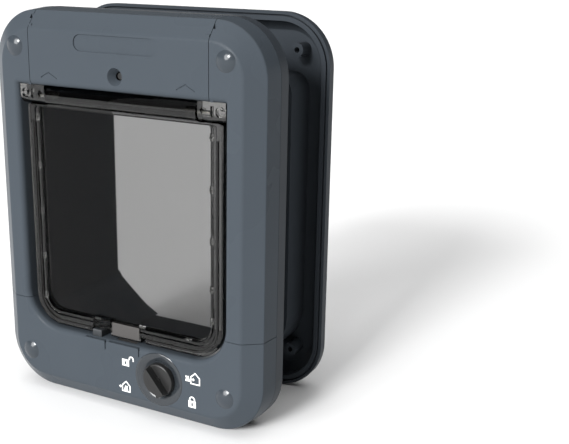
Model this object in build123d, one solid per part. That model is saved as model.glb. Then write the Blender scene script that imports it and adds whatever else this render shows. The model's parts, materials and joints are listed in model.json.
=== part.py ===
# Microchip cat flap: an indoor housing with a swinging flap, and an outdoor frame
import math
import os

from build123d import *

# Overall sizes, in millimetres. Depths count backwards from the front face of the indoor housing
width = 208.0
height = 266.0
corner_radius = 36.0
front_depth = 33.5
door_gap = 58.5
rear_depth = 15.5

# Bevelled skin of the housings
skin_wall = 2.4
skin_depth = 23.2
facet_width = 11.7
facet_depth = 9.0
side_draft = 1.4
face_bend_radius = 4.0
crease_radius = 1.4
seam_gap = 0.4
fit_gap = 0.3
slide_gap = 0.05

# Cuts run past the faces that they open by this much, and edges are picked by place to this difference
past = 1.0
hair = 0.01

# Opening in the front face: the height of its sill, and the columns and the header that stay around it
sill_height = 49.5
column_width = 25.0
header_height = 49.0
opening_low_radius = 26.0
opening_high_radius = 0.6
lip_radius = 3.6
throat_wall = 2.0
threshold_wall = 2.2

# Seams between the shell, the battery cover and the lower fascia
cover_inset = 35.8
fascia_rise = 18.5

# Tunnel through the door, a little narrower than the opening and deeper at its floor
tunnel_inset = 0.1
tunnel_drop = 21.0
tunnel_rise = 4.8
tunnel_low_radius = 30.0
tunnel_high_radius = 8.0
tunnel_wall = 1.9
tunnel_overlap = 8.0
sleeve_gap = 0.5
sleeve_wall = 2.2
sleeve_reach = 14.0

# Long fixing screws: four posts, holes and caps
fixing_inset = 24.5
fixing_low = 28.5
fixing_hole_radius = 2.4
post_radius = 6.6
socket_radius = 5.2
plug_radius = 4.4
plug_depth = 4.0
cap_radius = 6.6
cap_height = 2.0
boss_radius = 4.6
boss_hole_radius = 1.9
boss_hole_depth = 11.0

# Rear frame
rear_wall = 2.8
rear_facet_depth = 9.0
rim_width = 6.2
rim_groove_width = 1.1
rim_groove_depth = 2.2
rim_groove_inset = 2.0
exit_lip_radius = 2.2

# Back plate of the indoor housing and the screws that hold it
plate_wall = 2.5
band_edge = 0.8
case_screw_count = 3
case_screw_inset = 12.5
case_screw_low_gap = 12.0
case_screw_high_gap = 21.0
case_screw_radius = 1.4
case_head_radius = 2.9
case_head_height = 1.7
case_screw_length = 16.0
case_post_radius = 3.9

# Flap in the opening, with its rim, seal and clips
axis_depth = 8.0
axis_drop = 7.2
flap_side_gap = 4.5
flap_floor_gap = 1.1
flap_head_gap = 6.8
flap_low_radius = 21.0
flap_high_radius = 3.0
flap_thick = 7.0
flap_edge_radius = 2.2
pane_thick = 2.6
rim_band = 7.6
head_band = 9.6
head_rib_radius = 2.4
head_rib_step = 1.6
seal_width = 1.4
seal_depth = 2.0
seal_inset = 2.6
seal_proud = 0.5
channel_inset = 5.3
channel_width = 1.2
channel_depth = 1.5
clip_rows = 4
clip_low_gap = 33.4
clip_high_gap = 20.0
clip_cross_inset = 38.5
clip_long = 5.0
clip_short = 1.8
clip_inset = 1.2
clip_proud = 0.7
clip_root = 1.0
notch_gap = 0.9
notch_guide_gap = 1.7
notch_magnet_gap = 4.8
swing_gap = 1.0

# Hinge of the flap
barrel_radius = 5.0
barrel_inset = 17.0
barrel_root = 2.0
pin_radius = 1.5
pin_length = 17.0
bracket_round = 5.8
bracket_mark_rise = 1.4
bracket_mark_depth = 2.0
bracket_hole_share = 0.20
bracket_slot_share = 0.51
bracket_ring_share = 0.79
bracket_hole_radius = 1.9
bracket_slot_width = 1.6
bracket_slot_height = 6.4
bracket_ring_radius = 3.2

# Magnets
flap_magnet_length = 22.0
flap_magnet_height = 9.0
flap_magnet_thick = 2.6
flap_magnet_rise = 1.7
floor_magnet_length = 16.0
floor_magnet_depth = 6.0
floor_magnet_height = 4.4
holder_wall = 1.2

# Latch that rises into the bottom of the flap, left of the middle
latch_offset = 22.8
latch_radius = 1.9
latch_travel = 6.0
latch_side_gap = 1.1
latch_face_gap = 0.4
guide_width = 7.4
guide_depth = 9.8
guide_rise = 4.8
guide_flange = 1.6
guide_thick = 1.6
guide_edge_radius = 0.8
pin_recess = 0.3
plunger_radius = 3.0
plunger_length = 12.0
solenoid_width = 13.0
solenoid_depth = 10.4
solenoid_drop = 32.0
solenoid_height = 17.0
solenoid_floor = 1.7

# Lock knob in its dish, right of the middle and below the sill
knob_x = 29.2
knob_drop = 19.0
dish_radius = 18.6
dish_depth = 3.2
dish_back_radius = 15.2
knob_radius = 11.3
knob_disc_height = 2.2
knob_proud = 7.0
knob_back = 1.7
knob_edge_radius = 0.9
grip_length = 22.5
grip_tail_width = 8.4
grip_tip_width = 3.0
grip_corner_radius = 0.9
grip_taper = 9.0
dot_angle = 57.0
dot_ring_radius = 14.6
dot_radius = 1.0
dot_depth = 1.9
shaft_radius = 3.0
shaft_socket = 3.2
switch_radius = 8.5
switch_depth = 6.0
switch_floor = 1.0

# Battery cover details
funnel_rise = 9.8
funnel_radius = 5.6
funnel_bore = 2.6
funnel_depth = 5.0
badge_length = 63.0
badge_height = 10.6
badge_depth = 0.7
badge_drop = 19.8
chevron_inset = 16.2
chevron_rise = 9.0
chevron_reach = 6.4
chevron_drop = 3.4
chevron_line = 0.7
chevron_depth = 0.5
rail_depth = 5.2
rail_thick = 1.6
rail_reach = 1.4
rail_rise = 7.0
rail_drop = 10.0
rail_wall = 2.2
header_near = 4.6

# Sill: raised pads in front of the latch and the magnet
latch_pad_left = 8.2
latch_pad_right = 9.0
pad_space = 2.0
magnet_pad_reach = 2.6
pad_proud = 0.8
pad_far = 2.6
pad_height = 6.6
pad_sink = 0.4
pad_radius = 0.9
magnet_sink = 0.2

# Batteries, and the button of the board behind them
cell_radius = 7.1
nub_radius = 2.7
nub_length = 1.4
cell_gap = 9.4
bay_end_gap = 9.8
cell_pitch = 17.4
contact_thick = 0.6
contact_half = 4.0
tray_wall = 2.0
tray_base = 1.5
tray_edge = 3.0
bay_drop = 5.0
button_radius = 2.1
button_length = 9.0
button_travel = 1.0
switch_half = 4.0

# Circuit board behind the lower fascia, and the reader coil around the tunnel
board_gap = 1.0
board_thick = 1.6
board_low = 5.5
board_drop = 6.5
board_inset = 36.0
board_corner_radius = 3.0
standoff_inset = 8.0
standoff_low_gap = 12.5
standoff_high_gap = 5.0
standoff_radius = 2.6
chip_offset = 2.0
chip_rise = 18.5
chip_size = 12.0
chip_thick = 1.2
can_offset = 36.0
can_rise = 16.5
can_pitch = 8.0
can_count = 3
can_radius = 3.0
can_height = 5.0
connector_offset = 6.0
connector_rise = 1.0
connector_length = 16.0
connector_height = 6.0
connector_thick = 5.0
coil_depth = 4.6
coil_width = 3.6

# Places in depth, worked out from the sizes above
rim_plane = front_depth + door_gap
rear_face = rim_plane + rear_depth
rear_inner = rear_face - rear_wall
face_y = knob_proud - (knob_proud + rear_face) / 2
band_start = skin_depth + fit_gap
tunnel_end = rim_plane + tunnel_overlap
sleeve_start = rim_plane - sleeve_reach
flap_near = axis_depth - flap_thick / 2
flap_far = axis_depth + flap_thick / 2
bay_wall_near = skin_depth - threshold_wall
board_depth = bay_wall_near - board_gap - board_thick
cell_middle = bay_wall_near - tray_base - cell_radius
button_near = funnel_depth + swing_gap

# Distances from the middle to either side
opening_half = width / 2 - column_width
cover_half = width / 2 - cover_inset
cell_length = cover_half - cell_gap - bay_end_gap
tunnel_half = opening_half - tunnel_inset
fixing_half = width / 2 - fixing_inset
case_screw_half = width / 2 - case_screw_inset
flap_half = opening_half - flap_side_gap
barrel_half = flap_half - barrel_inset
board_half = width / 2 - board_inset
latch_x = -latch_offset
notch_left = latch_x - guide_width / 2 - notch_guide_gap
notch_right = flap_magnet_length / 2 + notch_magnet_gap
keeper_left = latch_x - latch_radius - latch_side_gap - holder_wall
keeper_right = -flap_magnet_length / 2 - holder_wall - slide_gap
sides = (-1, 1)

# Heights above the bottom of the housing
floor_top = sill_height
opening_high = height - header_height
fascia_high = floor_top + fascia_rise
tunnel_low = floor_top - tunnel_drop
tunnel_high = opening_high + tunnel_rise
fixing_high = height - fixing_inset
axis_height = opening_high - axis_drop
flap_low = floor_top + flap_floor_gap
flap_high = axis_height - flap_head_gap
notch_top = floor_top + guide_rise + notch_gap
magnet_bottom = flap_low + flap_magnet_rise
guide_low = floor_top - throat_wall - guide_thick
latch_top = floor_top + guide_rise - pin_recess
socket_top = latch_top + latch_travel + swing_gap
solenoid_low = floor_top - solenoid_drop
plunger_low = solenoid_low + solenoid_floor + fit_gap
knob_z = floor_top - knob_drop
funnel_height = opening_high + funnel_rise
chevron_height = opening_high + chevron_rise
badge_middle = height - badge_drop
rail_low = opening_high + rail_rise
rail_high = height - rail_drop
bay_high = height - bay_drop
tray_low = opening_high + throat_wall + fit_gap
cell_low = tray_low + tray_edge + cell_radius
board_high = floor_top - board_drop


def spread(low, high, count):
    """Evenly spaced places from one end of a stretch to the other."""
    return [low + (high - low) * step / (count - 1) for step in range(count)]


def at_depth(depth):
    """Plane parallel to the front face and seen from the front, so its drawing axes are X and Z."""
    return Plane(origin=(0, face_y + depth, 0), x_dir=(1, 0, 0), z_dir=(0, -1, 0))


def prism(profile, near, far):
    """Profile seen from the front, carried from one depth to another."""
    return extrude(at_depth(far) * profile, amount=far - near)


def disc(x, z, radius, near, far):
    """Round bar that runs front to back."""
    return prism(Pos(x, z) * Circle(radius), near, far)


def block(x_low, x_high, near, far, z_low, z_high):
    """Rectangular bar between two depths."""
    profile = Pos((x_low + x_high) / 2, (z_low + z_high) / 2) * Rectangle(x_high - x_low, z_high - z_low)
    return prism(profile, near, far)


def mirrored(side, inner, outer):
    """Lower and upper X of a stretch that is given by its distances from the middle."""
    return sorted((side * inner, side * outer))


def cross_bar(x_low, x_high, depth, z, radius):
    """Round bar that runs from side to side."""
    return Pos((x_low + x_high) / 2, face_y + depth, z) * Rot(0, 90, 0) * Cylinder(radius, x_high - x_low)


def upright(x, depth, z_low, z_high, radius):
    """Round bar that stands on end."""
    return Pos(x, face_y + depth, (z_low + z_high) / 2) * Cylinder(radius, z_high - z_low)


def arch(half, low, high, low_radius, high_radius):
    """Opening profile with large lower corners and small upper ones."""
    profile = Pos(0, (low + high) / 2) * Rectangle(2 * half, high - low)
    rows = profile.vertices().group_by(Axis.Y)
    profile = fillet(rows[0], low_radius)
    rows = profile.vertices().group_by(Axis.Y)
    return fillet(rows[-1], high_radius)


def outline(inset):
    """Rounded outline that the front housing and the rear frame share."""
    wide, tall = width - 2 * inset, height - 2 * inset
    return Pos(0, height / 2) * RectangleRounded(wide, tall, corner_radius - inset)


def opening_profile(grow):
    half, low, high = opening_half + grow, floor_top - grow, opening_high + grow
    return arch(half, low, high, opening_low_radius + grow, opening_high_radius + grow)


def tunnel_profile(grow):
    half, low, high = tunnel_half + grow, tunnel_low - grow, tunnel_high + grow
    return arch(half, low, high, tunnel_low_radius + grow, tunnel_high_radius + grow)


def bevelled_form(inset, back, front, bend_depth, draft):
    """Housing form: straight or drafted sides, then a bevel, then a flat face at the depth named front."""
    slope = math.atan2(abs(bend_depth - front), facet_width)
    step = math.copysign(1, back - front)
    side = outline(inset)
    crease = outline(draft + inset)
    face = outline(draft + facet_width + inset * math.tan(slope / 2))
    crease_depth = bend_depth + step * inset * math.tan((math.pi / 2 - slope) / 2)
    face_depth = front + step * inset
    sections = [at_depth(back) * side, at_depth(crease_depth) * crease, at_depth(face_depth) * face]
    return loft(sections, ruled=True)


def front_form(inset):
    return bevelled_form(inset, skin_depth, 0, facet_depth, side_draft)


def edges_at_depth(solid, depth):
    """Edges that lie in one plane parallel to the front face."""
    level = face_y + depth
    near_enough = solid.edges().filter_by(lambda e: e.bounding_box().min.Y > level - hair)
    return near_enough.filter_by(lambda e: e.bounding_box().max.Y < level + hair)


def edges_within(edges, half, low, high):
    """Edges whose middles lie in a box seen from the front, with its limits counted in."""
    inside = edges.filter_by(lambda e: abs(e.center().X) < half + hair)
    return inside.filter_by(lambda e: low - hair < e.center().Z < high + hair)


def fixing_points():
    return [(side * fixing_half, z) for z in (fixing_low, fixing_high) for side in sides]


def case_screw_points():
    low, high = fascia_high + case_screw_low_gap, opening_high - case_screw_high_gap
    return [(side * case_screw_half, z) for z in spread(low, high, case_screw_count) for side in sides]


def front_skin():
    """Whole moulded front before its seams: bevelled skin, rounded lip, throat and screw posts."""
    outer = front_form(0)
    outer = fillet(edges_at_depth(outer, facet_depth), crease_radius)
    outer = fillet(edges_at_depth(outer, 0), face_bend_radius)
    skin = outer - front_form(skin_wall)
    skin += prism(opening_profile(throat_wall), skin_wall / 2, skin_depth)
    skin += prism(tunnel_profile(tunnel_wall), bay_wall_near, skin_depth)
    skin -= prism(opening_profile(0), -past, skin_depth + past)
    rim = edges_within(edges_at_depth(skin, 0), opening_half, floor_top, opening_high)
    skin = fillet(rim.filter_by(lambda e: e.bounding_box().max.Z < opening_high - hair), lip_radius)
    core = front_form(skin_wall / 2)
    for x, z in fixing_points():
        skin += core & disc(x, z, post_radius, 0, skin_depth)
    for x, z in case_screw_points():
        skin += core & disc(x, z, case_post_radius, 0, skin_depth)
    for x, z in fixing_points():
        skin -= disc(x, z, fixing_hole_radius, -past, skin_depth + past)
        skin -= disc(x, z, plug_radius + slide_gap, -past, plug_depth)
    for x, z in case_screw_points():
        skin -= disc(x, z, case_screw_radius + slide_gap, skin_depth - case_screw_length, skin_depth + past)
    return skin


def front_shell(skin):
    """Side columns and upper corners, joined behind the battery cover by the walls of the battery bay."""
    far, top = skin_depth + past, height + past
    body = skin - block(-cover_half, cover_half, -past, far, opening_high - past, top)
    body -= block(-width, width, -past, far, -past, fascia_high + seam_gap / 2)
    header_top = opening_high + throat_wall
    body += block(-opening_half, opening_half, header_near, skin_depth, opening_high, header_top)
    body += block(-cover_half, cover_half, bay_wall_near, skin_depth, opening_high, bay_high)
    inside = front_form(skin_wall / 2)
    for side in sides:
        web = mirrored(side, cover_half, cover_half + rail_wall)
        body += inside & block(web[0], web[1], 0, skin_depth, opening_high, height)
        groove = mirrored(side, cover_half - past, cover_half + rail_reach + fit_gap)
        groove_near, groove_far = rail_depth - fit_gap, rail_depth + rail_thick + fit_gap
        body -= block(groove[0], groove[1], groove_near, groove_far, rail_low - fit_gap, top)
    return body


def chevron(x):
    """Engraved arrowhead that points up."""
    length = math.hypot(chevron_reach, chevron_drop)
    angle = math.degrees(math.atan2(chevron_drop, chevron_reach))
    mark = Sketch()
    for side in sides:
        middle = Pos(x + side * chevron_reach / 2, chevron_height - chevron_drop / 2)
        mark += middle * Rot(0, 0, -side * angle) * Rectangle(length + chevron_line / 2, chevron_line)
    return prism(mark, -past, chevron_depth)


def battery_cover(skin):
    """Cover that slides up out of the shell: front, bevel and top in one, with a funnel over the button."""
    half, far = cover_half - seam_gap, skin_depth + past
    body = skin & block(-half, half, -past, far, opening_high + fit_gap, height + past)
    body -= front_form(skin_wall) & block(-width, width, header_near - seam_gap, far, opening_high, height)
    body += disc(0, funnel_height, funnel_radius + skin_wall / 2, skin_wall / 2, funnel_depth)
    funnel = Pos(0, face_y + funnel_depth / 2, funnel_height) * Rot(90, 0, 0)
    body -= funnel * Cone(funnel_bore, funnel_radius, funnel_depth)
    body -= prism(Pos(0, badge_middle) * SlotOverall(badge_length, badge_height), -past, badge_depth)
    for side in sides:
        body -= chevron(side * (cover_half - chevron_inset))
        rib = mirrored(side, half - rail_wall, half)
        rail_far = rail_depth + rail_thick
        body += block(rib[0], rib[1], skin_wall / 2, rail_far, rail_low, rail_high)
        tongue = mirrored(side, half - rail_wall, cover_half + rail_reach)
        body += block(tongue[0], tongue[1], rail_depth, rail_far, rail_low, rail_high)
    return body


def lower_fascia(skin):
    """Lower front with the knob's dish, the sill of the opening and the seats of the latch and the board."""
    body = skin & block(-width, width, -past, skin_depth + past, -past, fascia_high - seam_gap / 2)
    body += disc(knob_x, knob_z, dish_back_radius, skin_wall / 2, dish_depth + skin_wall)
    ball = (dish_radius**2 + dish_depth**2) / (2 * dish_depth)
    body -= Pos(knob_x, face_y + dish_depth - ball, knob_z) * Sphere(ball)
    body -= disc(knob_x, knob_z, shaft_radius + slide_gap, -past, dish_depth + skin_wall + past)
    for angle in (dot_angle, 180 - dot_angle, 180 + dot_angle, -dot_angle):
        dot_x = knob_x + dot_ring_radius * math.cos(math.radians(angle))
        dot_z = knob_z + dot_ring_radius * math.sin(math.radians(angle))
        body -= disc(dot_x, dot_z, dot_radius, -past, dot_depth)
    split, pads_end = latch_x + latch_pad_right, flap_magnet_length / 2 + magnet_pad_reach
    for low, high in ((latch_x - latch_pad_left, split), (split + pad_space, pads_end)):
        pad = block(low, high, -pad_proud, pad_far, floor_top - pad_height, floor_top - pad_sink)
        body += fillet(pad.edges().filter_by(Axis.Y), pad_radius)
    half = floor_magnet_length / 2
    near, far = axis_depth - floor_magnet_depth / 2, axis_depth + floor_magnet_depth / 2
    low = floor_top - magnet_sink - floor_magnet_height
    wall, gap = throat_wall, slide_gap
    body += block(-half - wall, half + wall, near - wall, far + wall, low - wall, floor_top - wall / 2)
    body -= block(-half - gap, half + gap, near - gap, far + gap, low, floor_top + past)
    half_x, half_y = guide_width / 2 + fit_gap, guide_depth / 2 + fit_gap
    left, right, near, far = latch_x - half_x, latch_x + half_x, axis_depth - half_y, axis_depth + half_y
    body -= block(left, right, near, far, floor_top - 2 * wall, floor_top + past)
    left, right = latch_x - solenoid_width / 2 - wall, latch_x + solenoid_width / 2 + wall
    shelf_far = axis_depth + solenoid_depth / 2 + wall
    body += block(left, right, skin_wall / 2, shelf_far, solenoid_low - wall, solenoid_low)
    for side in sides:
        for z in (board_low + standoff_low_gap, board_high - standoff_high_gap):
            x = side * (board_half - standoff_inset)
            body += disc(x, z, standoff_radius, skin_wall / 2, board_depth)
    return body


def back_plate():
    """Back of the indoor housing with its side band and the inner tunnel that slides into the rear frame."""
    body = prism(outline(0), band_start, front_depth)
    body = chamfer(edges_at_depth(body, front_depth), band_edge)
    body -= prism(outline(skin_wall), band_start - past, front_depth - plate_wall)
    body += prism(tunnel_profile(tunnel_wall), band_start, tunnel_end)
    for x, z in fixing_points():
        body += disc(x, z, socket_radius, band_start, front_depth)
    for x, z in case_screw_points():
        body += disc(x, z, case_head_radius + plate_wall / 2, band_start, front_depth)
    body -= prism(tunnel_profile(0), band_start - past, tunnel_end + past)
    for x, z in fixing_points():
        body -= disc(x, z, fixing_hole_radius, band_start - past, front_depth + past)
    for x, z in case_screw_points():
        body -= disc(x, z, case_screw_radius + slide_gap, band_start - past, front_depth + past)
        body -= disc(x, z, case_head_radius + slide_gap, front_depth - case_head_height, front_depth + past)
    return body


def rear_frame():
    """Outdoor frame: bevelled shell, grooved rim, four screw bosses and the outer sleeve."""
    bend = rear_face - rear_facet_depth
    outer = bevelled_form(0, rim_plane, rear_face, bend, 0)
    outer = fillet(edges_at_depth(outer, bend), crease_radius)
    outer = fillet(edges_at_depth(outer, rear_face), face_bend_radius)
    hollow = bevelled_form(rear_wall, rim_plane - past, rear_face, bend, 0)
    body = outer - (hollow & prism(outline(rim_width), rim_plane - past, rear_face))
    groove = outline(rim_groove_inset) - outline(rim_groove_inset + rim_groove_width)
    body -= prism(groove, rim_plane - past, rim_plane + rim_groove_depth)
    grow = tunnel_wall + sleeve_gap
    body += prism(tunnel_profile(grow + sleeve_wall), sleeve_start, rear_face - rear_wall / 2)
    for x, z in fixing_points():
        body += disc(x, z, boss_radius, rim_plane, rear_inner + rear_wall / 2)
    body -= prism(tunnel_profile(grow), sleeve_start - past, rear_face + past)
    for x, z in fixing_points():
        body -= disc(x, z, boss_hole_radius, rim_plane - past, rim_plane + boss_hole_depth)
    lip = edges_at_depth(body, rear_face)
    lip = edges_within(lip, tunnel_half + grow, tunnel_low - grow, tunnel_high + grow)
    return fillet(lip, exit_lip_radius)


def screw_cap(x, z):
    """Domed cap with a plug that closes the hole of a long fixing screw."""
    ball = (cap_radius**2 + cap_height**2) / (2 * cap_height)
    dome = Pos(x, face_y + ball - cap_height, z) * Sphere(ball)
    dome &= disc(x, z, cap_radius + past, -cap_height - past, 0)
    return dome + disc(x, z, plug_radius, -cap_height / 4, plug_depth - fit_gap)


def flap_outline(inset):
    half, low, high = flap_half - inset, flap_low + inset, flap_high - inset
    return arch(half, low, high, flap_low_radius - inset, flap_high_radius)


def flap_clips():
    """Small catches along the inner edge of the flap's rim, which hold the seal."""
    places = []
    side_x, cross_x = flap_half - rim_band + clip_inset, flap_half - clip_cross_inset
    low_z, high_z = flap_low + rim_band - clip_inset, flap_high - head_band + clip_inset
    for side in sides:
        for z in spread(flap_low + clip_low_gap, flap_high - clip_high_gap, clip_rows):
            places.append((side * side_x, z, clip_short / 2, clip_long / 2))
        places.append((side * cross_x, low_z, clip_long / 2, clip_short / 2))
        places.append((side * cross_x, high_z, clip_long / 2, clip_short / 2))
    near, far = flap_near - clip_proud, flap_near + clip_root
    return [block(x - wide, x + wide, near, far, z - tall, z + tall) for x, z, wide, tall in places]


def flap_panel():
    """Clear swinging flap: pane, grooved rim, hinge barrel, and seats for magnet, keeper and seal."""
    body = prism(flap_outline(0), flap_near, flap_far)
    body = fillet(edges_at_depth(body, flap_near) + edges_at_depth(body, flap_far), flap_edge_radius)
    half, low, high = flap_half - rim_band, flap_low + rim_band, flap_high - head_band
    inner = arch(half, low, high, flap_low_radius - rim_band, flap_high_radius)
    body -= prism(inner, flap_near - past, axis_depth - pane_thick / 2)
    body -= prism(inner, axis_depth + pane_thick / 2, flap_far + past)
    channel = flap_outline(channel_inset) - flap_outline(channel_inset + channel_width)
    channel = prism(channel, flap_near - past, flap_near + channel_depth)
    body -= channel - block(-width, width, -past, flap_far, flap_high - head_band, flap_high)
    body += block(-barrel_half, barrel_half, flap_near, flap_far, flap_high - barrel_root, axis_height)
    body += cross_bar(-barrel_half, barrel_half, axis_depth, axis_height, barrel_radius)
    rib_z = flap_high - head_band / 2
    body += cross_bar(-barrel_half, barrel_half, axis_depth - head_rib_step, rib_z, head_rib_radius)
    body -= block(notch_left, notch_right, flap_near - past, flap_far + past, flap_low - past, notch_top)
    wall, gap = holder_wall, slide_gap
    half, low, high = flap_magnet_length / 2, magnet_bottom, magnet_bottom + flap_magnet_height
    body += block(-half - wall, half + wall, flap_near, flap_far, low - wall, high + wall)
    left, right, seat_high = keeper_left - gap, keeper_right + gap, socket_top + wall + gap
    body -= block(left, right, flap_near - past, flap_far + past, flap_low, seat_high)
    for clip in flap_clips():
        body += clip
    pocket_far = flap_near + flap_magnet_thick
    body -= block(-half - gap, half + gap, flap_near - past, pocket_far, low - gap, high + gap)
    body -= seal_loop(flap_near + seal_depth, seal_inset, seal_width + 2 * slide_gap, flap_near - past)
    for side in sides:
        ends = mirrored(side, barrel_half - pin_length / 2 - fit_gap, barrel_half + past)
        body -= cross_bar(ends[0], ends[1], axis_depth, axis_height, pin_radius + slide_gap)
    return body


def latch_keeper():
    """Insert beside the magnet, with a pocket that takes the raised latch pin."""
    wall, half = holder_wall, latch_radius + latch_face_gap
    body = block(keeper_left, keeper_right, flap_near, flap_far, notch_top, socket_top + wall)
    left, right = keeper_left + wall, keeper_right - wall
    return body - block(left, right, axis_depth - half, axis_depth + half, notch_top - past, socket_top)


def seal_loop(far, inset, wide, near):
    """Strip down one side of the flap's rim, along the bottom and up the other, open at the notch."""
    shift = (wide - seal_width) / 2
    loop = prism(flap_outline(inset - shift) - flap_outline(inset + wide - shift), near, far)
    loop -= block(-width, width, near - past, far + past, flap_high - head_band + shift, flap_high + past)
    left, right = notch_left - holder_wall + shift, notch_right + holder_wall - shift
    return loop - block(left, right, near - past, far + past, 0, flap_low + rim_band)


def hinge_bracket(side):
    """Bracket that holds one end of the flap's pin under the header, with moulding pockets in its face."""
    near_end, far_end = barrel_half + swing_gap, opening_half - opening_high_radius
    reach = far_end - near_end
    low_x, high_x = mirrored(side, near_end, far_end)
    face = axis_depth - bracket_round
    body = cross_bar(low_x, high_x, axis_depth, axis_height, bracket_round)
    body += block(low_x, high_x, face, axis_depth + bracket_round, axis_height, opening_high)
    mark_z = axis_height + bracket_mark_rise
    hole = Pos(side * (near_end + bracket_hole_share * reach), mark_z) * Circle(bracket_hole_radius)
    slot = Rectangle(bracket_slot_width, bracket_slot_height)
    slot = Pos(side * (near_end + bracket_slot_share * reach), mark_z) * slot
    ring = Circle(bracket_ring_radius) - Circle(bracket_ring_radius - bracket_slot_width)
    ring -= Pos(side * bracket_ring_radius, 0) * Rectangle(2 * bracket_ring_radius, bracket_slot_width)
    ring = Pos(side * (near_end + bracket_ring_share * reach), mark_z) * ring
    for mark in (hole, slot, ring):
        body -= prism(mark, face - past, face + bracket_mark_depth)
    ends = mirrored(side, near_end - past, barrel_half + pin_length / 2 + fit_gap)
    return body - cross_bar(ends[0], ends[1], axis_depth, axis_height, pin_radius + slide_gap)


def hinge_pin(side):
    ends = mirrored(side, barrel_half - pin_length / 2, barrel_half + pin_length / 2)
    return cross_bar(ends[0], ends[1], axis_depth, axis_height, pin_radius)


def flap_magnet():
    half, high = flap_magnet_length / 2, magnet_bottom + flap_magnet_height
    return block(-half, half, flap_near, flap_near + flap_magnet_thick, magnet_bottom, high)


def threshold_magnet():
    half = floor_magnet_length / 2
    near, far = axis_depth - floor_magnet_depth / 2, axis_depth + floor_magnet_depth / 2
    low = floor_top - magnet_sink - floor_magnet_height
    return block(-half, half, near, far, low, low + floor_magnet_height)


def latch_guide():
    """Upright block in the sill that the latch pin slides through, held by a flange under the floor."""
    half_x, half_y = guide_width / 2, guide_depth / 2
    near, far = axis_depth - half_y, axis_depth + half_y
    top = floor_top + guide_rise
    body = block(latch_x - half_x, latch_x + half_x, near, far, guide_low, top)
    body = fillet(body.faces().sort_by(Axis.Z)[-1].edges(), guide_edge_radius)
    flange_left, flange_right = latch_x - half_x - guide_flange, latch_x + half_x + guide_flange
    body += block(flange_left, flange_right, near, far + guide_flange, guide_low, floor_top - throat_wall)
    return body - upright(latch_x, axis_depth, guide_low - past, top + past, latch_radius + slide_gap)


def latch_pin():
    return upright(latch_x, axis_depth, plunger_low + plunger_length, latch_top, latch_radius)


def latch_plunger():
    return upright(latch_x, axis_depth, plunger_low, plunger_low + plunger_length, plunger_radius)


def latch_solenoid():
    """Coil housing under the latch, open at the top for its plunger."""
    half_x, half_y = solenoid_width / 2, solenoid_depth / 2
    low, top = solenoid_low, solenoid_low + solenoid_height
    body = block(latch_x - half_x, latch_x + half_x, axis_depth - half_y, axis_depth + half_y, low, top)
    return body - upright(latch_x, axis_depth, low + solenoid_floor, top + past, plunger_radius + slide_gap)


def lock_knob():
    """Black knob with a wedge grip whose narrow end points at the chosen setting."""
    body = disc(knob_x, knob_z, knob_radius, -knob_disc_height, knob_back)
    body = fillet(edges_at_depth(body, -knob_disc_height), knob_edge_radius)
    half, tail, tip = grip_length / 2, grip_tail_width / 2, grip_tip_width / 2
    wedge = Polygon((-half, -tail), (half, -tip), (half, tip), (-half, tail), align=None)
    wedge = fillet(wedge.vertices(), grip_corner_radius)
    wedge = Pos(knob_x, knob_z) * Rot(0, 0, 180 - dot_angle) * wedge
    body += extrude(at_depth(0) * wedge, amount=knob_proud, taper=grip_taper)
    return body - disc(knob_x, knob_z, shaft_radius + slide_gap, -shaft_socket - fit_gap, knob_back + past)


def knob_shaft():
    return disc(knob_x, knob_z, shaft_radius, -shaft_socket, board_depth - switch_floor - fit_gap)


def selector_switch():
    body = disc(knob_x, knob_z, switch_radius, board_depth - switch_depth, board_depth)
    near, far = board_depth - switch_depth - past, board_depth - switch_floor
    return body - disc(knob_x, knob_z, shaft_radius + slide_gap, near, far)


def circuit_board():
    board = RectangleRounded(2 * board_half, board_high - board_low, board_corner_radius)
    return prism(Pos(0, (board_low + board_high) / 2) * board, board_depth, board_depth + board_thick)


def board_parts():
    """Chip, capacitors and plug socket on the front of the board."""
    right, low = chip_size - chip_offset, board_low + chip_rise
    body = block(-chip_offset, right, board_depth - chip_thick, board_depth, low, low + chip_size)
    for count in range(can_count):
        x, z = -can_offset - count * can_pitch, board_low + can_rise
        body += disc(x, z, can_radius, board_depth - can_height, board_depth)
    right, low = connector_length - connector_offset, board_low + connector_rise
    near = board_depth - connector_thick
    return body + block(-connector_offset, right, near, board_depth, low, low + connector_height)


def antenna_coil():
    """Reader coil wound around the tunnel, against the back plate."""
    inner = tunnel_wall + 2 * fit_gap
    ring = tunnel_profile(inner + coil_width) - tunnel_profile(inner)
    far = front_depth - plate_wall
    return prism(ring, far - coil_depth, far)


def battery(side, row):
    """Round cell that lies across the bay with its button at the outer end."""
    z = cell_low + row * cell_pitch
    end = cell_gap + cell_length
    jacket, nub = mirrored(side, cell_gap, end), mirrored(side, end - nub_length, end + nub_length)
    body = cross_bar(jacket[0], jacket[1], cell_middle, z, cell_radius)
    return body + cross_bar(nub[0], nub[1], cell_middle, z, nub_radius)


def battery_tray():
    """Cradle with four troughs and the end walls that carry the contacts."""
    reach = cell_gap + cell_length + nub_length + contact_thick
    inner = cell_gap - contact_thick
    high = cell_low + cell_pitch + cell_radius + tray_edge
    body = block(-reach - tray_wall, reach + tray_wall, cell_middle, bay_wall_near, tray_low, high)
    for row in range(2):
        body -= cross_bar(-reach, reach, cell_middle, cell_low + row * cell_pitch, cell_radius + slide_gap)
    floor = bay_wall_near - tray_wall / 2
    body -= block(-inner, inner, cell_middle - past, floor, tray_low - past, high + past)
    for side in sides:
        for near_end, far_end in ((reach, reach + tray_wall), (inner - tray_wall, inner)):
            wall = mirrored(side, near_end, far_end)
            body += block(wall[0], wall[1], cell_middle - cell_radius / 2, bay_wall_near, tray_low, high)
    return body


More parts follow.
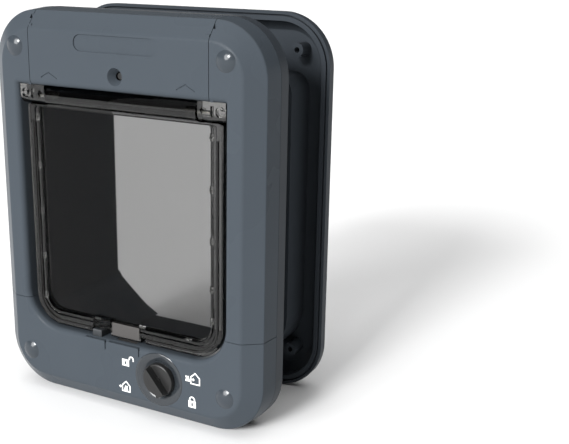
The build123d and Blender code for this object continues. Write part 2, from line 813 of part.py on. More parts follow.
def battery_contacts():
    """Spring plates at both ends of each cell."""
    plates = []
    reach = cell_gap + cell_length + nub_length
    near, far = cell_middle - contact_half, cell_middle + contact_half
    for side in sides:
        for near_end, far_end in ((reach, reach + contact_thick), (cell_gap - contact_thick, cell_gap)):
            plate = mirrored(side, near_end, far_end)
            for row in range(2):
                z = cell_low + row * cell_pitch
                plates.append(block(plate[0], plate[1], near, far, z - contact_half, z + contact_half))
    return Compound(plates)


def learn_button():
    return disc(0, funnel_height, button_radius, button_near, button_near + button_length)


def learn_switch():
    near, far = button_near + button_length - button_travel, bay_wall_near - tray_wall / 2
    low, high = funnel_height - switch_half, funnel_height + switch_half
    body = block(-switch_half, switch_half, near, far, low, high)
    bore_far = near + 2 * button_travel + fit_gap
    return body - disc(0, funnel_height, button_radius + slide_gap, near - past, bore_far)


def case_screws():
    """Six screws that hold the back plate to the front shell."""
    screws = []
    for x, z in case_screw_points():
        head = disc(x, z, case_head_radius, front_depth - case_head_height, front_depth)
        shank_far = front_depth - case_head_height
        screws.append(head + disc(x, z, case_screw_radius, shank_far - case_screw_length, shank_far))
    return Compound(screws)


def build_all():
    """All pieces by node name."""
    skin = front_skin()
    pieces = {
        "front_shell": front_shell(skin),
        "battery_cover": battery_cover(skin),
        "lower_fascia": lower_fascia(skin),
        "back_plate": back_plate(),
        "rear_frame": rear_frame(),
        "flap_panel": flap_panel(),
        "flap_seal": seal_loop(flap_near + seal_depth, seal_inset, seal_width, flap_near - seal_proud),
        "flap_magnet": flap_magnet(),
        "latch_keeper": latch_keeper(),
        "threshold_magnet": threshold_magnet(),
        "latch_guide": latch_guide(),
        "latch_pin": latch_pin(),
        "latch_plunger": latch_plunger(),
        "latch_solenoid": latch_solenoid(),
        "lock_knob": lock_knob(),
        "knob_shaft": knob_shaft(),
        "selector_switch": selector_switch(),
        "circuit_board": circuit_board(),
        "board_parts": board_parts(),
        "antenna_coil": antenna_coil(),
        "battery_tray": battery_tray(),
        "battery_contacts": battery_contacts(),
        "learn_button": learn_button(),
        "learn_switch": learn_switch(),
        "case_screws": case_screws(),
    }
    for side, hand in ((-1, "left"), (1, "right")):
        pieces[f"hinge_bracket_{hand}"] = hinge_bracket(side)
        pieces[f"hinge_pin_{hand}"] = hinge_pin(side)
        for row, level in enumerate(("lower", "upper")):
            pieces[f"battery_{hand}_{level}"] = battery(side, row)
        for z, level in ((fixing_low, "lower"), (fixing_high, "upper")):
            pieces[f"screw_cap_{hand}_{level}"] = screw_cap(side * fixing_half, z)
    return pieces


os.makedirs("parts", exist_ok=True)
for node, shape in build_all().items():
    export_step(shape, f"parts/{node}.step")
    print(node, round(shape.volume), "mm3")
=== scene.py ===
# %% [markdown]
# # A microchip cat flap
#
# This lesson dresses a finished mechanical model and puts it in a small photo studio. The model is an indoor housing
# with a smoked swinging flap, a latch, a setting knob and a battery cover, and an outdoor frame at the far end of a
# short tunnel. The shapes come from the construction model, so most of the work here is finish: moulded ABS,
# smoked polycarbonate, a white pad print and the soft light that shows them.

# %% Load the construction model
import json
import math

import bmesh
import bpy
from mathutils import Matrix, Vector


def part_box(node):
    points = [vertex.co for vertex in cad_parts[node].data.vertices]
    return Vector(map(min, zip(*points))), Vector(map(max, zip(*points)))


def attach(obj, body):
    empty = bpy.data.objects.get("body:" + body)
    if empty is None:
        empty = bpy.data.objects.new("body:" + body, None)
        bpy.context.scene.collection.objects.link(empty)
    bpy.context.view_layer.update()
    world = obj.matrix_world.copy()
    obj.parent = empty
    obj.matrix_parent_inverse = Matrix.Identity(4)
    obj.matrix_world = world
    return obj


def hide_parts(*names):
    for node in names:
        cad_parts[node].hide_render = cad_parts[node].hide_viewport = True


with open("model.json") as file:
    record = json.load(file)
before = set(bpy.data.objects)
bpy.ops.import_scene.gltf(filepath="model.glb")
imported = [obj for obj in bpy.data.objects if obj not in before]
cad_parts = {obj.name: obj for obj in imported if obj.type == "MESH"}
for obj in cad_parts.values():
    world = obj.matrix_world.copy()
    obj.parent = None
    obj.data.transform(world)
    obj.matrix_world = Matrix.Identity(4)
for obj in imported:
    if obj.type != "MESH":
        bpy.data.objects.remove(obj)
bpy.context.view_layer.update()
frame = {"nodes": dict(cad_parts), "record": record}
nodes = frame["nodes"]

# %% [markdown]
# ## Sizes to work from
#
# Every piece is in metres and in one frame: X to the right when seen from the room, Y from the room to the garden
# and Z up. The front face of the housing is the plane that most details sit on, so it is read from the model once.
# Small sizes are easier to think of in millimetres, and one short function turns them into metres.

# %% Millimetres and the front plane


def mm(value):
    return value / 1000


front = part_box("battery_cover")[0][1]
knob_low, knob_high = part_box("lock_knob")
knob_x = (knob_low[0] + knob_high[0]) / 2
knob_z = (knob_low[2] + knob_high[2]) / 2
print("front plane y:", round(front, 5), "knob at:", round(knob_x, 4), round(knob_z, 4))

# %% [markdown]
# ## The camera
#
# The view was found by matching edges and screw caps of the object to a photograph: a lens of about 60 mm on a
# 36 mm sensor, to the right of the object and a little above it. A camera's matrix has its right, up and backward
# directions as columns, so the three angles are turned into those directions and nothing has to be aimed by hand.

# %% Camera
photo_width = 569
focal_pixels = 942.2
sensor = 36.0
yaw = math.radians(26.9)
pitch = math.radians(15.56)
roll = math.radians(1.206)
distance = 0.6083
offset_right = -0.10697
offset_up = -0.00872
aim = Vector((0, front, mm(125)))

back = Vector((math.sin(yaw) * math.cos(pitch), -math.cos(yaw) * math.cos(pitch), math.sin(pitch)))
level = Vector((math.cos(yaw), math.sin(yaw), 0))
upward = back.cross(level)
right = level * math.cos(roll) + upward * math.sin(roll)
up = upward * math.cos(roll) - level * math.sin(roll)
eye = aim - right * offset_right - up * offset_up + back * distance

lens = bpy.data.cameras.new("camera")
lens.sensor_width = sensor
lens.sensor_fit = "HORIZONTAL"
lens.lens = sensor * focal_pixels / photo_width
lens.clip_start = mm(10)
camera = bpy.data.objects.new("camera", lens)
camera.matrix_world = Matrix.Translation(eye) @ Matrix((right, up, back)).transposed().to_4x4()
bpy.context.scene.collection.objects.link(camera)
bpy.context.scene.camera = camera
print("lens mm:", round(lens.lens, 1), "eye:", [round(c, 3) for c in eye])

# %% [markdown]
# ## Colour and nodes
#
# Colours are written as hex values, the way a colour picker shows them. Shaders work with light, so a hex value
# first has to be turned from the screen's curve to linear light. A material is a small tree of nodes. One function
# adds a node, sets its options and fills its inputs, with a plain value or with the output of another node. A
# second starts a material and hands back its tree, its shader and the place on the object in metres.

# %% Colours, nodes and new materials


def paint(code):
    channels = [int(code[start:start + 2], 16) / 255 for start in (1, 3, 5)]
    linear = [c / 12.92 if c <= 0.04045 else ((c + 0.055) / 1.055) ** 2.4 for c in channels]
    return (*linear, 1.0)


def add_node(tree, kind, inputs, **options):
    node = tree.nodes.new(kind)
    for name, value in options.items():
        setattr(node, name, value)
    for name, value in inputs.items():
        if isinstance(value, bpy.types.NodeSocket):
            tree.links.new(value, node.inputs[name])
        else:
            node.inputs[name].default_value = value
    return node


def new_material(name):
    material = bpy.data.materials.new(name)
    material.use_nodes = True
    shader = material.node_tree.nodes["Principled BSDF"]
    place = add_node(material.node_tree, "ShaderNodeTexCoord", {}).outputs["Object"]
    return material, material.node_tree, shader, place


print("slate in linear light:", [round(c, 3) for c in paint("#59636b")])

# %% [markdown]
# ## Slate ABS, moulded with a fine tool texture
#
# The housings are ABS. The tool they come from is spark eroded, which leaves a satin face with pits of about 0.2 mm.
# At the distance of the photograph such pits are finer than a pixel, so they are drawn at 0.7 mm, very shallow. ABS
# has an IOR of about 1.54. Its gloss changes a little over the face where the melt cooled at different speeds: a
# second, much larger noise moves the roughness by a few hundredths. The white floor would veil such a dark face with
# its glancing reflection, so the faces mirror very little. The screw caps and the wall of the dish are polished: they
# get a low roughness and more of the plastic's mirror, for small sharp lights. They and the frame parts are the same
# slate plastic, but their base colours are darker copies of it: painted shade. The Mix node has sockets of one name
# for numbers and for colours, so its colour sockets are picked by their place.

# %% Slate ABS
pit, pit_depth, flow = mm(0.7), mm(0.03), mm(60)
gloss_swing = 0.04
colour_a, colour_b, colour_out = 6, 7, 2


def moulded_abs(name, light, dark, roughness, mirror=0.04):
    material, tree, shader, place = new_material(name)
    pits = add_node(tree, "ShaderNodeTexNoise", {"Vector": place, "Scale": 1 / pit, "Detail": 3.0})
    cloud = add_node(tree, "ShaderNodeTexNoise", {"Vector": place, "Scale": 1 / flow, "Detail": 2.0})
    shades = {"Factor": cloud.outputs["Fac"], colour_a: paint(dark), colour_b: paint(light)}
    tone = add_node(tree, "ShaderNodeMix", shades, data_type="RGBA")
    span = {"Value": cloud.outputs["Fac"], "To Min": roughness - gloss_swing, "To Max": roughness + gloss_swing}
    gloss = add_node(tree, "ShaderNodeMapRange", span)
    relief = add_node(tree, "ShaderNodeBump", {"Height": pits.outputs["Fac"], "Strength": 0.35, "Distance": pit_depth})
    tree.links.new(tone.outputs[colour_out], shader.inputs["Base Color"])
    tree.links.new(gloss.outputs["Result"], shader.inputs["Roughness"])
    tree.links.new(relief.outputs["Normal"], shader.inputs["Normal"])
    shader.inputs["IOR"].default_value = 1.54
    shader.inputs["Specular IOR Level"].default_value = mirror
    return material


slate_abs = moulded_abs("moulded slate ABS", "#41474d", "#3d4349", 0.28)
# Painted shade: the screw caps' base is darker than the face's slate, though they are the same plastic.
shaded_cap_abs = moulded_abs("polished slate ABS with painted shade", "#373c42", "#343a3f", 0.16, mirror=0.25)
# Painted shade: the dish wall's base is darker than the face's slate, for the shade in the recess.
shaded_dish_abs = moulded_abs("glossy slate ABS with painted shade", "#2c3034", "#2a2e32", 0.12, mirror=0.5)
# Painted shade: the frame parts get a darker copy of the same slate plastic.
shaded_frame_abs = moulded_abs("moulded slate ABS darkened as painted shade", "#383d42", "#35393e", 0.34)
print("made:", [finish.name for finish in (slate_abs, shaded_cap_abs, shaded_dish_abs, shaded_frame_abs)])

# %% [markdown]
# ## Smoked polycarbonate
#
# The flap is clear polycarbonate with a grey dye, polished where the cat looks through. Its IOR is 1.585, higher than
# window glass. The dye sits in the plastic itself, so it is given as absorption inside the solid: the thin pane stays
# light and the thick rim turns nearly black. The floor is white, and a mirror-like pane would be veiled by it, so its
# reflection is toned down with a grey specular tint. The rim keeps nearly all its reflection and has a little less
# dye, which gives it bright lines along its beads. The hinge brackets are the same plastic with hardly any dye.
# Polished plastic keeps hairlines from wiping: a stretched noise, coarse enough to show, adds them to the roughness.

# %% Smoked and clear polycarbonate
hairline = (mm(40), mm(1.5), mm(2.5))
hairline_haze = 0.03


def polycarbonate(name, surface, mirror, density, roughness):
    material, tree, shader, place = new_material(name)
    wipe = add_node(tree, "ShaderNodeMapping", {"Vector": place, "Scale": [1 / side for side in hairline]})
    hairlines = add_node(tree, "ShaderNodeTexNoise", {"Vector": wipe.outputs["Vector"], "Scale": 1.0, "Detail": 2.0})
    span = {"Value": hairlines.outputs["Fac"], "To Min": roughness, "To Max": roughness + hairline_haze}
    haze = add_node(tree, "ShaderNodeMapRange", span)
    tree.links.new(haze.outputs["Result"], shader.inputs["Roughness"])
    shader.inputs["Base Color"].default_value = paint(surface)
    shader.inputs["Specular Tint"].default_value = paint(mirror)
    shader.inputs["Transmission Weight"].default_value = 1.0
    shader.inputs["IOR"].default_value = 1.585
    dye = add_node(tree, "ShaderNodeVolumeAbsorption", {"Color": paint("#101010"), "Density": density})
    tree.links.new(dye.outputs["Volume"], tree.nodes["Material Output"].inputs["Volume"])
    return material


smoked_pc = polycarbonate("smoked polycarbonate", "#f4f4f4", "#404040", 420.0, 0.02)
rim_pc = polycarbonate("smoked polycarbonate rim", "#f4f4f4", "#e0e0e0", 360.0, 0.02)
clear_pc = polycarbonate("clear polycarbonate", "#f4f4f2", "#ffffff", 130.0, 0.04)
print("made:", smoked_pc.name, rim_pc.name, clear_pc.name)

# %% [markdown]
# ## Black acetal, pile, metals and inner parts
#
# The rest are small pieces, each with one telling quality: the knob's acetal is slippery and half glossy, the seal
# is a nylon pile that eats light, the magnets are sintered ferrite, and the pins, screws and contacts are
# nickel-plated steel with a fine drawn grain. A metal's colour is its reflection, so it keeps the default IOR.

# %% One recipe for plain finishes with a grain
grain_swing = 0.06


def grained(name, code, roughness, grain, depth, metallic=0.0, ior=None, stretch=(1, 1, 1)):
    material, tree, shader, place = new_material(name)
    along = add_node(tree, "ShaderNodeMapping", {"Vector": place, "Scale": stretch}).outputs["Vector"]
    pattern = add_node(tree, "ShaderNodeTexNoise", {"Vector": along, "Scale": 1 / grain, "Detail": 3.0})
    span = {"Value": pattern.outputs["Fac"], "To Min": roughness - grain_swing, "To Max": roughness + grain_swing}
    gloss = add_node(tree, "ShaderNodeMapRange", span)
    relief = add_node(tree, "ShaderNodeBump", {"Height": pattern.outputs["Fac"], "Strength": 0.4, "Distance": depth})
    tree.links.new(gloss.outputs["Result"], shader.inputs["Roughness"])
    tree.links.new(relief.outputs["Normal"], shader.inputs["Normal"])
    shader.inputs["Base Color"].default_value = paint(code)
    shader.inputs["Metallic"].default_value = metallic
    if ior is not None:
        shader.inputs["IOR"].default_value = ior
    return material


drawn = (1, 1, 0.08)
black_acetal = grained("black acetal", "#1c1c1c", 0.32, mm(0.6), mm(0.02), ior=1.48)
nylon_pile = grained("black nylon pile", "#0d0d0d", 0.9, mm(0.35), mm(0.3), ior=1.53)
ferrite = grained("sintered ferrite", "#4a4847", 0.5, mm(0.4), mm(0.02), metallic=0.4)
nickel_steel = grained("nickel-plated steel", "#c9c5bd", 0.25, mm(0.3), mm(0.01), metallic=1.0, stretch=drawn)
grey_nylon = grained("grey nylon", "#2a2d30", 0.4, mm(0.6), mm(0.02), ior=1.53)
solder_mask = grained("green solder mask", "#14502c", 0.3, mm(1.5), mm(0.02), ior=1.5)
epoxy = grained("black moulding epoxy", "#1a1a1c", 0.55, mm(0.3), mm(0.02), ior=1.55)
copper_wire = grained("enamelled copper wire", "#b5673a", 0.3, mm(0.3), mm(0.08), metallic=1.0, stretch=(1, 1, 0.1))
cell_sleeve = grained("printed PVC sleeve", "#b89432", 0.3, mm(2), mm(0.01), ior=1.53)
tray_abs = grained("black ABS", "#1b1b1c", 0.5, mm(0.6), mm(0.03), ior=1.54)
white_ink = grained("white pad print", "#f2f2f0", 0.5, mm(0.3), mm(0.01), ior=1.5)
print("materials:", len(bpy.data.materials))

# %% [markdown]
# ## Finish for every solid
#
# The record names a material slot for every node. A table takes each slot to its material, and a loop puts it on all
# the slots of the node's object. Only the screw caps differ: they have the housing's slot and the polished finish,
# whose darker base is painted shade. The meshes themselves stay as they came.

# %% Dress the nodes
finishes = {
    "slate_plastic": slate_abs,
    # The frame's slot takes the darker copy of the slate: painted shade.
    "slate_frame": shaded_frame_abs,
    "smoked_clear": smoked_pc,
    "clear_bracket": clear_pc,
    "black_plastic": black_acetal,
    "seal_black": nylon_pile,
    "magnet_grey": ferrite,
    "steel": nickel_steel,
    "guide_grey": grey_nylon,
    "board_green": solder_mask,
    "chip_black": epoxy,
    "coil_copper": copper_wire,
    "cell_jacket": cell_sleeve,
    "tray_black": tray_abs,
}
for part in frame["record"]["subparts"]:
    finish = shaded_cap_abs if part["node"].startswith("screw_cap") else finishes[part["material_slot"]]
    for holder in nodes[part["node"]].material_slots:
        holder.material = finish

# %% [markdown]
# ## The flap, as it is seen
#
# The construction model has a sound flap, but its rim is a little plainer than the real one. The clear plastic is
# moulded: a flat pane, a broad rim with a bead along both edges, and a hinge barrel that nearly touches the header.
# The rim is drawn as a row of closed rings. Each ring is the flap's outline, drawn in by some millimetres and set at
# some depth, and faces join each ring to the next. Two large faces close the pane. The magnet, the latch's insert
# and the pile seal stay those of the model and lie inside the plastic, where they show through it.

# %% Rings along the flap's outline
flap_low, flap_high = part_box("flap_panel")
axis_y = (flap_low[1] + flap_high[1]) / 2
barrel_z = flap_high[2] - mm(5)
near, far = axis_y - mm(3.5), axis_y + mm(3.5)
flap_half, top_share, low_share = 75.5, 0.2, 1.2
low_corner, least_corner, top_corner = 21, 4, 2
below_barrel = 5.8
arc_steps = 10


def flap_ring(inset, depth):
    """Points of the flap's outline, drawn in by some millimetres; the bottom band is a fifth wider than the sides."""
    half = mm(flap_half - inset)
    low, high = flap_low[2] + mm(low_share * inset), barrel_z - mm(below_barrel + top_share * inset)
    below = max(low_corner - inset, least_corner)
    corners = ((half, low, -90, below), (half, high, 0, top_corner))
    corners += ((-half, high, 90, top_corner), (-half, low, 180, below))
    points = []
    for x, z, start, radius in corners:
        turn_x = x - math.copysign(mm(radius), x)
        turn_z = z + mm(radius) if start in (-90, 180) else z - mm(radius)
        for step in range(arc_steps + 1):
            angle = math.radians(start + 90 * step / arc_steps)
            points.append((turn_x + mm(radius) * math.cos(angle), depth, turn_z + mm(radius) * math.sin(angle)))
    return points


def closed_rings(name, rings, finish, hoop=False):
    """Closed mesh from a row of rings with equal counts of points; a hoop joins the last to the first, with no lids."""
    mesh = bpy.data.meshes.new(name)
    shape = bmesh.new()
    rows = [[shape.verts.new(point) for point in ring] for ring in rings]
    for row, after in zip(rows, rows[1:] + rows[:1] if hoop else rows[1:]):
        for index in range(len(row)):
            other = (index + 1) % len(row)
            shape.faces.new((row[index], row[other], after[other], after[index]))
    if not hoop:
        shape.faces.new(rows[0][::-1])
        shape.faces.new(rows[-1])
    bmesh.ops.recalc_face_normals(shape, faces=shape.faces)
    shape.to_mesh(mesh)
    shape.free()
    mesh.materials.append(finish)
    piece = bpy.data.objects.new(name, mesh)
    bpy.context.scene.collection.objects.link(piece)
    return piece


def box_points(low, high):
    ring = [(low[0], low[2]), (high[0], low[2]), (high[0], high[2]), (low[0], high[2])]
    return [[(x, depth, z) for x, z in ring] for depth in (low[1], high[1])]


def round_bar(name, x_low, x_high, depth, height, radius, finish, steps=40):
    turns = [2 * math.pi * step / steps for step in range(steps)]
    circle = [(depth + radius * math.cos(a), height + radius * math.sin(a)) for a in turns]
    return closed_rings(name, [[(x, y, z) for y, z in circle] for x in (x_low, x_high)], finish)


print("flap outline:", len(flap_ring(0, near)), "points a ring")

# %% [markdown]
# The section below is the rim from its inner edge on the garden side, round the outside, to its inner edge on the
# room side. It says how far each ring is drawn in, and its depth, where the rim's front plane lies at a depth of
# 4.5. The faces over the first and the last ring are the two sides of the pane.

# %% The flap's plastic
rim_front = 4.5
section = [
    (9.2, 9.3), (9.2, 10.9), (8.6, 11.5), (1.2, 11.5), (0.3, 10.9), (0, 9.6), (0, 6.4), (0.3, 5.1), (1.2, 4.5),
    (3.0, 4.5), (3.2, 4.8), (4.9, 4.8), (5.1, 4.5), (6.2, 4.5), (6.4, 5.7), (7.5, 5.7), (7.7, 4.5), (8.6, 4.5),
    (9.2, 5.1), (9.2, 6.7),
]
rim_rings = [flap_ring(inset, near + mm(depth - rim_front)) for inset, depth in section]
flap_plastic = closed_rings("flap_plastic", rim_rings, smoked_pc)
print("rim rings:", len(rim_rings))

# %% [markdown]
# The barrel and a short neck under it are joined to the plastic with booleans, and the seats of the latch's insert,
# the magnet and the notch between them are cut from it. The tools differ a little in length, because a boolean is
# surer when no faces lie in one plane.

# %% Barrel, neck and seats


def cut(piece, tool, operation="DIFFERENCE"):
    """Boolean of one piece with a tool, which is then removed."""
    change = piece.modifiers.new("cut", "BOOLEAN")
    change.operation, change.object, change.solver = operation, tool, "EXACT"
    done = bpy.data.meshes.new_from_object(piece.evaluated_get(bpy.context.evaluated_depsgraph_get()))
    piece.modifiers.clear()
    piece.data = done
    bpy.data.objects.remove(tool)


def seat(x_low, x_high, z_low, z_high, past, back=None):
    """Box cut out of the flap's plastic; it stands out past both faces, or ends at a given back."""
    low = (x_low, near - mm(past), z_low)
    high = (x_high, far + mm(past) if back is None else back, z_high)
    cut(flap_plastic, closed_rings("seat", box_points(low, high), smoked_pc))


barrel_half, barrel_radius, neck_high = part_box("hinge_bracket_right")[0][0] - mm(0.8), mm(6.6), mm(7)
neck_box = box_points((-barrel_half, near, barrel_z - neck_high), (barrel_half, far, barrel_z))
cut(flap_plastic, closed_rings("neck", neck_box, smoked_pc), "UNION")
cut(flap_plastic, round_bar("barrel", -barrel_half, barrel_half, axis_y, barrel_z, barrel_radius, smoked_pc), "UNION")

keeper_low, keeper_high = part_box("latch_keeper")
magnet_low, magnet_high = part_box("flap_magnet")
slack, lip, flap_foot = mm(0.06), mm(1.2), flap_low[2]
notch_left, notch_right = mm(-28.2), mm(15.8)
seat(notch_left, notch_right, flap_foot - mm(2), magnet_low[2] - lip, 9)
seat(notch_left, magnet_low[0] - lip, flap_foot - mm(1), keeper_low[2], 8)
seat(magnet_high[0] + lip, notch_right + mm(0.1), flap_foot - mm(1), keeper_low[2] + slack, 8)
seat(keeper_low[0] - slack, keeper_high[0] + slack, keeper_low[2] - mm(1), keeper_high[2] + slack, 7)
magnet_back = magnet_high[1] + slack
seat(magnet_low[0] - slack, magnet_high[0] + slack, magnet_low[2] - slack, magnet_high[2] + slack, 6, magnet_back)
print("flap faces:", len(flap_plastic.data.polygons))

# %% [markdown]
# The two large faces of the pane get the toned-down finish, and every other face the finish of the rim. A face
# belongs to the pane when it looks straight to the room or the garden and lies near the middle of the flap's depth.

# %% Two finishes on the flap
pane_reach, straight = mm(1.6), 0.99
flap_plastic.data.materials.clear()
for finish in (smoked_pc, rim_pc):
    flap_plastic.data.materials.append(finish)
for face in flap_plastic.data.polygons:
    on_pane = abs(face.normal.y) > straight and abs(face.center.y - axis_y) < pane_reach
    face.material_index = 0 if on_pane else 1
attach(flap_plastic, "flap")
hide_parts("flap_panel")
print("pane faces:", sum(face.material_index == 0 for face in flap_plastic.data.polygons))

# %% [markdown]
# Small catches along the inner edge of the rim hold the seal. They stand at uneven places, as they do on the real one,
# and their polished tips catch the light.

# %% Catches
half_short, half_long, proud, sunk, tip_half = 0.8, 2.4, mm(0.6), mm(0.8), 0.7
upright = [(-67, z) for z in (195.2, 163.0, 131.4, 99.7, 70.9)]
upright += [(67.2, z) for z in (195.2, 163.2, 130.1, 98.3, 77.1)]
lying = [(-22.3, 62.1), (13.7, 62.6), (50.0, 61.4), (-49.1, 204.6), (-19.9, 206.4), (25.9, 206.4)]
catches = [(x, z, half_short, half_long) for x, z in upright] + [(x, z, half_long, half_short) for x, z in lying]
for number, (x, z, wide, tall) in enumerate(catches, start=1):
    low = (mm(x - wide), near - proud, mm(z - tall))
    high = (mm(x + wide), near + sunk, mm(z + tall))
    catch = closed_rings(f"catch_{number}", box_points(low, high), clear_pc)
    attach(catch, "flap")
    ends = mm(x - tip_half), mm(x + tip_half)
    tip = round_bar(f"catch_tip_{number}", *ends, near - proud, mm(z), mm(tip_half), clear_pc, steps=16)
    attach(tip, "flap")
print("catches:", len(catches))

# %% [markdown]
# ## The polished dish around the knob
#
# The knob turns in a shallow round dish. Its wall is polished and falls steeply just outside the knob, where a bright
# crescent of the light shows. It is drawn as a thin bowl over the wall, from rings. Each ring has a distance from the
# knob's axis and a depth, in millimetres. They are used once for the side that is seen and once for a hidden side a
# fifth of a millimetre behind it.

# %% Dish
dish_steps, dish_skin = 64, 0.2
dish_profile = [
    (18.5, 0.0), (17.2, 0.2), (15.6, 0.4), (14.4, 0.65), (13.4, 1.05),
    (12.6, 1.5), (11.9, 1.8), (11.4, 1.9), (10.4, 2.1), (9.0, 2.35),
]


def dish_ring(reach, depth):
    turns = [2 * math.pi * step / dish_steps for step in range(dish_steps)]
    return [(knob_x + mm(reach) * math.cos(a), front + mm(depth), knob_z + mm(reach) * math.sin(a)) for a in turns]


seen_side = [dish_ring(reach, depth) for reach, depth in dish_profile]
hidden_side = [dish_ring(reach, depth + dish_skin) for reach, depth in dish_profile[::-1]]
bowl = seen_side + hidden_side
# Painted shade: the bowl's base colour is darker than the face's slate.
dish_wall = closed_rings("dish_wall", bowl, shaded_dish_abs, hoop=True)
for face in dish_wall.data.polygons:
    face.use_smooth = True
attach(dish_wall, "housing")
print("dish wall faces:", len(dish_wall.data.polygons))

# %% [markdown]
# ## Slanted corners in the tunnel
#
# The lower corners of the real tunnel are cut off by a flat slant. Two long wedges along the round corners of the
# model's tunnel give that shape. They reach from the housing to the outdoor face. The outer half of the tunnel is
# wider than the inner half, so each wedge comes in two lengths, whose round backs are arcs of a different radius.

# %% Wedges
tunnel_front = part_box("back_plate")[0][1]
joint_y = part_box("back_plate")[1][1] - mm(0.5)
tunnel_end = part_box("rear_frame")[1][1] - mm(2.5)
slant = [(-79.2, 58.0), (-76.5, 53.4), (-67.6, 45.6), (-54.0, 34.4), (-43.0, 28.2)]
corner_x, corner_z = -48.9, 58.5
bend_angles = [math.radians(angle) for angle in range(264, 186, -6)]
lengths = (("inner", tunnel_front, joint_y, 30.4), ("outer", joint_y, tunnel_end, 32.6))
for name, start, end, radius in lengths:
    bend = [(corner_x + radius * math.cos(a), corner_z + radius * math.sin(a)) for a in bend_angles]
    for side, hand in ((1, "left"), (-1, "right")):
        profile = [(mm(side * x), mm(z)) for x, z in slant + bend]
        rings = [[(x, depth, z) for x, z in profile] for depth in (start, end)]
        wedge = closed_rings(f"tunnel_slant_{name}_{hand}", rings, slate_abs)
        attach(wedge, "housing")
print("tunnel wedges reach from y:", round(tunnel_front, 4), "to", round(tunnel_end, 4))

# %% [markdown]
# ## The four setting signs
#
# Around the knob are four small signs in white ink: an open padlock, a cat that may only go out, a cat that may only
# come in, and a shut padlock. Ink from a pad lies about 0.06 mm thick on the plastic. Each sign is made of flat
# areas and of lines of even width, drawn in millimetres around its own middle.

# %% Areas and lines in the front plane
ink_thick = mm(0.06)


def area(points):
    return [points]


def line(points, width, closed=False):
    """A line of even width as one four-cornered area for each stretch, with mitred corners."""
    count = len(points)
    stops = []
    for index, (x, z) in enumerate(points):
        before = points[index - 1] if closed or index > 0 else None
        after = points[(index + 1) % count] if closed or index < count - 1 else None
        ways = []
        if before:
            ways.append(Vector((x - before[0], z - before[1])).normalized())
        if after:
            ways.append(Vector((after[0] - x, after[1] - z)).normalized())
        way = sum(ways, Vector((0, 0))).normalized()
        side = Vector((-way.y, way.x)) * (width / 2) / max(way.dot(ways[0]), 0.3)
        stops.append(((x + side.x, z + side.y), (x - side.x, z - side.y)))
    spans = count if closed else count - 1
    areas = []
    for index in range(spans):
        here, there = stops[index], stops[(index + 1) % count]
        areas.append([here[0], there[0], there[1], here[1]])
    return areas


def bow(x, z, radius, start, end, steps=10):
    turn = [math.radians(start + (end - start) * step / steps) for step in range(steps + 1)]
    return [(x + radius * math.cos(a), z + radius * math.sin(a)) for a in turn]


def ink_sign(name, x, z, areas):
    """Flat areas as thin closed plates of ink, as one piece on the housing's front."""
    mesh = bpy.data.meshes.new(name)
    shape = bmesh.new()
    for outline in areas:
        turn = sum(a[0] * b[1] - b[0] * a[1] for a, b in zip(outline, outline[1:] + outline[:1]))
        ordered = outline if turn > 0 else outline[::-1]
        under, over = [
            [shape.verts.new((x + mm(p[0]), front - depth, z + mm(p[1]))) for p in ordered]
            for depth in (0.0, ink_thick)
        ]
        shape.faces.new(over)
        shape.faces.new(under[::-1])
        for index in range(len(ordered)):
            after = (index + 1) % len(ordered)
            shape.faces.new((under[index], under[after], over[after], over[index]))
    bmesh.ops.triangulate(shape, faces=[f for f in shape.faces if len(f.verts) > 4])
    shape.to_mesh(mesh)
    shape.free()
    mesh.materials.append(white_ink)
    sign = bpy.data.objects.new(name, mesh)
    bpy.context.scene.collection.objects.link(sign)
    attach(sign, "housing")
    print(name, "areas:", len(areas))


# %% [markdown]
# The padlocks share a body with a keyhole between its two cheeks. The houses share a line of five corners, and the
# cats are one small sitting figure that is used on both sides.

# %% Draw the signs
body_wide, body_high, keyhole, band_high = 5.6, 4.8, 1.3, 1.0
shackle_stroke, house_stroke = 0.9, 0.8


def padlock_body(x, z):
    half, slot, top, mid = body_wide / 2, keyhole / 2, body_high / 2, band_high
    left = [(x - half, z - top), (x - slot, z - top), (x - slot, z + top), (x - half, z + top)]
    right_cheek = [(x + slot, z - top), (x + half, z - top), (x + half, z + top), (x + slot, z + top)]
    over = [(x - slot, z + mid), (x + slot, z + mid), (x + slot, z + top), (x - slot, z + top)]
    under = [(x - slot, z - top), (x + slot, z - top), (x + slot, z - top + mid), (x - slot, z - top + mid)]
    return [left, right_cheek, over, under]


def house(x, z, wide, high, eave):
    corners = [(x - wide / 2, z), (x + wide / 2, z), (x + wide / 2, z + eave), (x, z + high), (x - wide / 2, z + eave)]
    return line(corners, house_stroke, closed=True)


def cat(x, z, size, facing):
    steps = [
        (0.50, 0.00), (0.50, 0.30), (0.34, 0.62), (0.30, 0.74), (0.26, 1.00), (0.08, 0.88), (-0.10, 0.88),
        (-0.28, 1.00), (-0.32, 0.72), (-0.18, 0.56), (-0.30, 0.30), (-0.36, 0.00),
    ]
    return area([(x + facing * size * a, z + size * b) for a, b in steps])


def arrow(x, z, reach, facing):
    steps = [(1.0, 0.0), (0.35, 0.62), (0.35, 0.22), (-0.6, 0.22), (-0.6, -0.22), (0.35, -0.22), (0.35, -0.62)]
    return area([(x + facing * reach * a, z + reach * b) for a, b in steps])


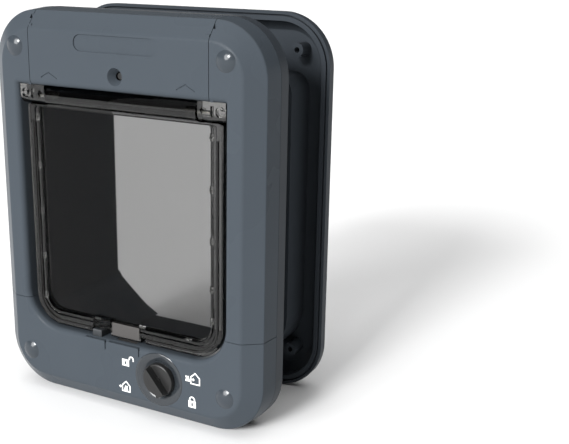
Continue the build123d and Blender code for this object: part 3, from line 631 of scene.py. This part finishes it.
unlocked = padlock_body(-1.2, -1.2) + line([(1.9, 1.3)] + bow(3.5, 2.0, 1.6, 180, 0) + [(5.1, 0.6)], shackle_stroke)
locked = padlock_body(0, -1.2) + line([(-1.8, 1.2)] + bow(0, 2.0, 1.8, 180, 0) + [(1.8, 1.2)], shackle_stroke)
out_only = house(0.9, -3.4, 6.2, 7.2, 4.2) + cat(1.1, -2.7, 3.6, -1) + arrow(-2.9, -0.6, 2.0, -1)
in_only = house(2.2, -3.6, 6.6, 7.6, 4.6) + cat(-3.9, -2.6, 4.0, 1) + arrow(-0.2, -0.6, 2.0, 1)
ink_sign("sign_unlocked", mm(3.9), mm(38.0), unlocked)
ink_sign("sign_out_only", mm(1.8), mm(19.2), out_only)
ink_sign("sign_in_only", mm(55.4), mm(37.2), in_only)
ink_sign("sign_locked", mm(55.2), mm(20.2), locked)

# %% [markdown]
# ## The studio
#
# The object stands on white paper. The sheet is a plain plane, large enough that its far edge is out of sight. Paper
# scatters light evenly, so it is rough and has little gloss. Its fibres are drawn as a 3 mm noise in the roughness.

# %% Floor
floor_half = 60.0
floor_mesh = bpy.data.meshes.new("floor")
floor_corners = [(x * floor_half, y * floor_half, 0) for x, y in ((-1, -1), (1, -1), (1, 1), (-1, 1))]
floor_mesh.from_pydata(floor_corners, [], [(0, 1, 2, 3)])
floor = bpy.data.objects.new("floor", floor_mesh)
bpy.context.scene.collection.objects.link(floor)
paper, paper_tree, paper_shader, paper_place = new_material("white paper sweep")
fibres = add_node(paper_tree, "ShaderNodeTexNoise", {"Vector": paper_place, "Scale": 1 / mm(3), "Detail": 2.0})
fibre_span = {"Value": fibres.outputs["Fac"], "To Min": 0.8, "To Max": 0.95}
fibre_gloss = add_node(paper_tree, "ShaderNodeMapRange", fibre_span)
paper_tree.links.new(fibre_gloss.outputs["Result"], paper_shader.inputs["Roughness"])
paper_shader.inputs["Base Color"].default_value = paint("#f4f4f4")
paper_shader.inputs["Specular IOR Level"].default_value = 0.1
floor_mesh.materials.append(paper)
print("floor:", 2 * floor_half, "m wide")

# %% [markdown]
# ## Light
#
# The shadow on the floor has a firm core and a much wider pale skirt to the right, so there are two lights. The first
# stands nearly straight in front, 14 degrees wide as seen from the object. The second is twice as wide, lower, and
# to the left, which also makes the left bevel as bright as the front and the right one darker. Sun lamps with
# those angles give the same edges and light the far floor as well as the near one. The fill is a large panel
# overhead. It is painted into the world as a bright cap around the zenith, with a smooth edge, so the sides of the
# object face dark surroundings and keep their depth. A narrow white band along the horizon carries the white floor
# on, for a camera that stands low.

# %% Two key lights and the overhead panel
key_strength = 2.7
for name, side, rise, wide in (("front key", -3, 25, 14), ("left key", -17, 19, 28)):
    side, rise = math.radians(side), math.radians(rise)
    key = bpy.data.lights.new(name, "SUN")
    key.energy = key_strength
    key.angle = math.radians(wide)
    lamp = bpy.data.objects.new(name, key)
    key_from = Vector((math.sin(side), -math.cos(side), math.tan(rise)))
    lamp.matrix_world = key_from.to_track_quat("Z", "Y").to_matrix().to_4x4()
    bpy.context.scene.collection.objects.link(lamp)
    print(name, "from:", [round(c, 2) for c in key_from])

# %% [markdown]
# The world's strength depends only on how high a direction points: 1 is the zenith and 0 the horizon. One map range
# makes the overhead panel, a second the band at the horizon, and their sum goes to the background.

# %% The world
world = bpy.data.worlds.new("studio")
world.use_nodes = True
sky_tree = world.node_tree
direction = add_node(sky_tree, "ShaderNodeTexCoord", {}).outputs["Generated"]
height_of = add_node(sky_tree, "ShaderNodeSeparateXYZ", {"Vector": direction}).outputs["Z"]
cap_span = {"Value": height_of, "From Min": 0.65, "From Max": 0.95, "To Min": 0.04, "To Max": 1.8}
cap = add_node(sky_tree, "ShaderNodeMapRange", cap_span, interpolation_type="SMOOTHSTEP")
band_span = {"Value": height_of, "From Min": 0.08, "From Max": 0.18, "To Min": 1.0, "To Max": 0.0}
band = add_node(sky_tree, "ShaderNodeMapRange", band_span, interpolation_type="SMOOTHSTEP")
glow = add_node(sky_tree, "ShaderNodeMath", {0: cap.outputs["Result"], 1: band.outputs["Result"]}, operation="ADD")
sky_tree.links.new(glow.outputs["Value"], sky_tree.nodes["Background"].inputs["Strength"])
sky_tree.nodes["Background"].inputs["Color"].default_value = paint("#ffffff")
bpy.context.scene.world = world
bpy.context.scene.view_settings.view_transform = "Standard"
print("world:", world.name, "nodes:", len(sky_tree.nodes))
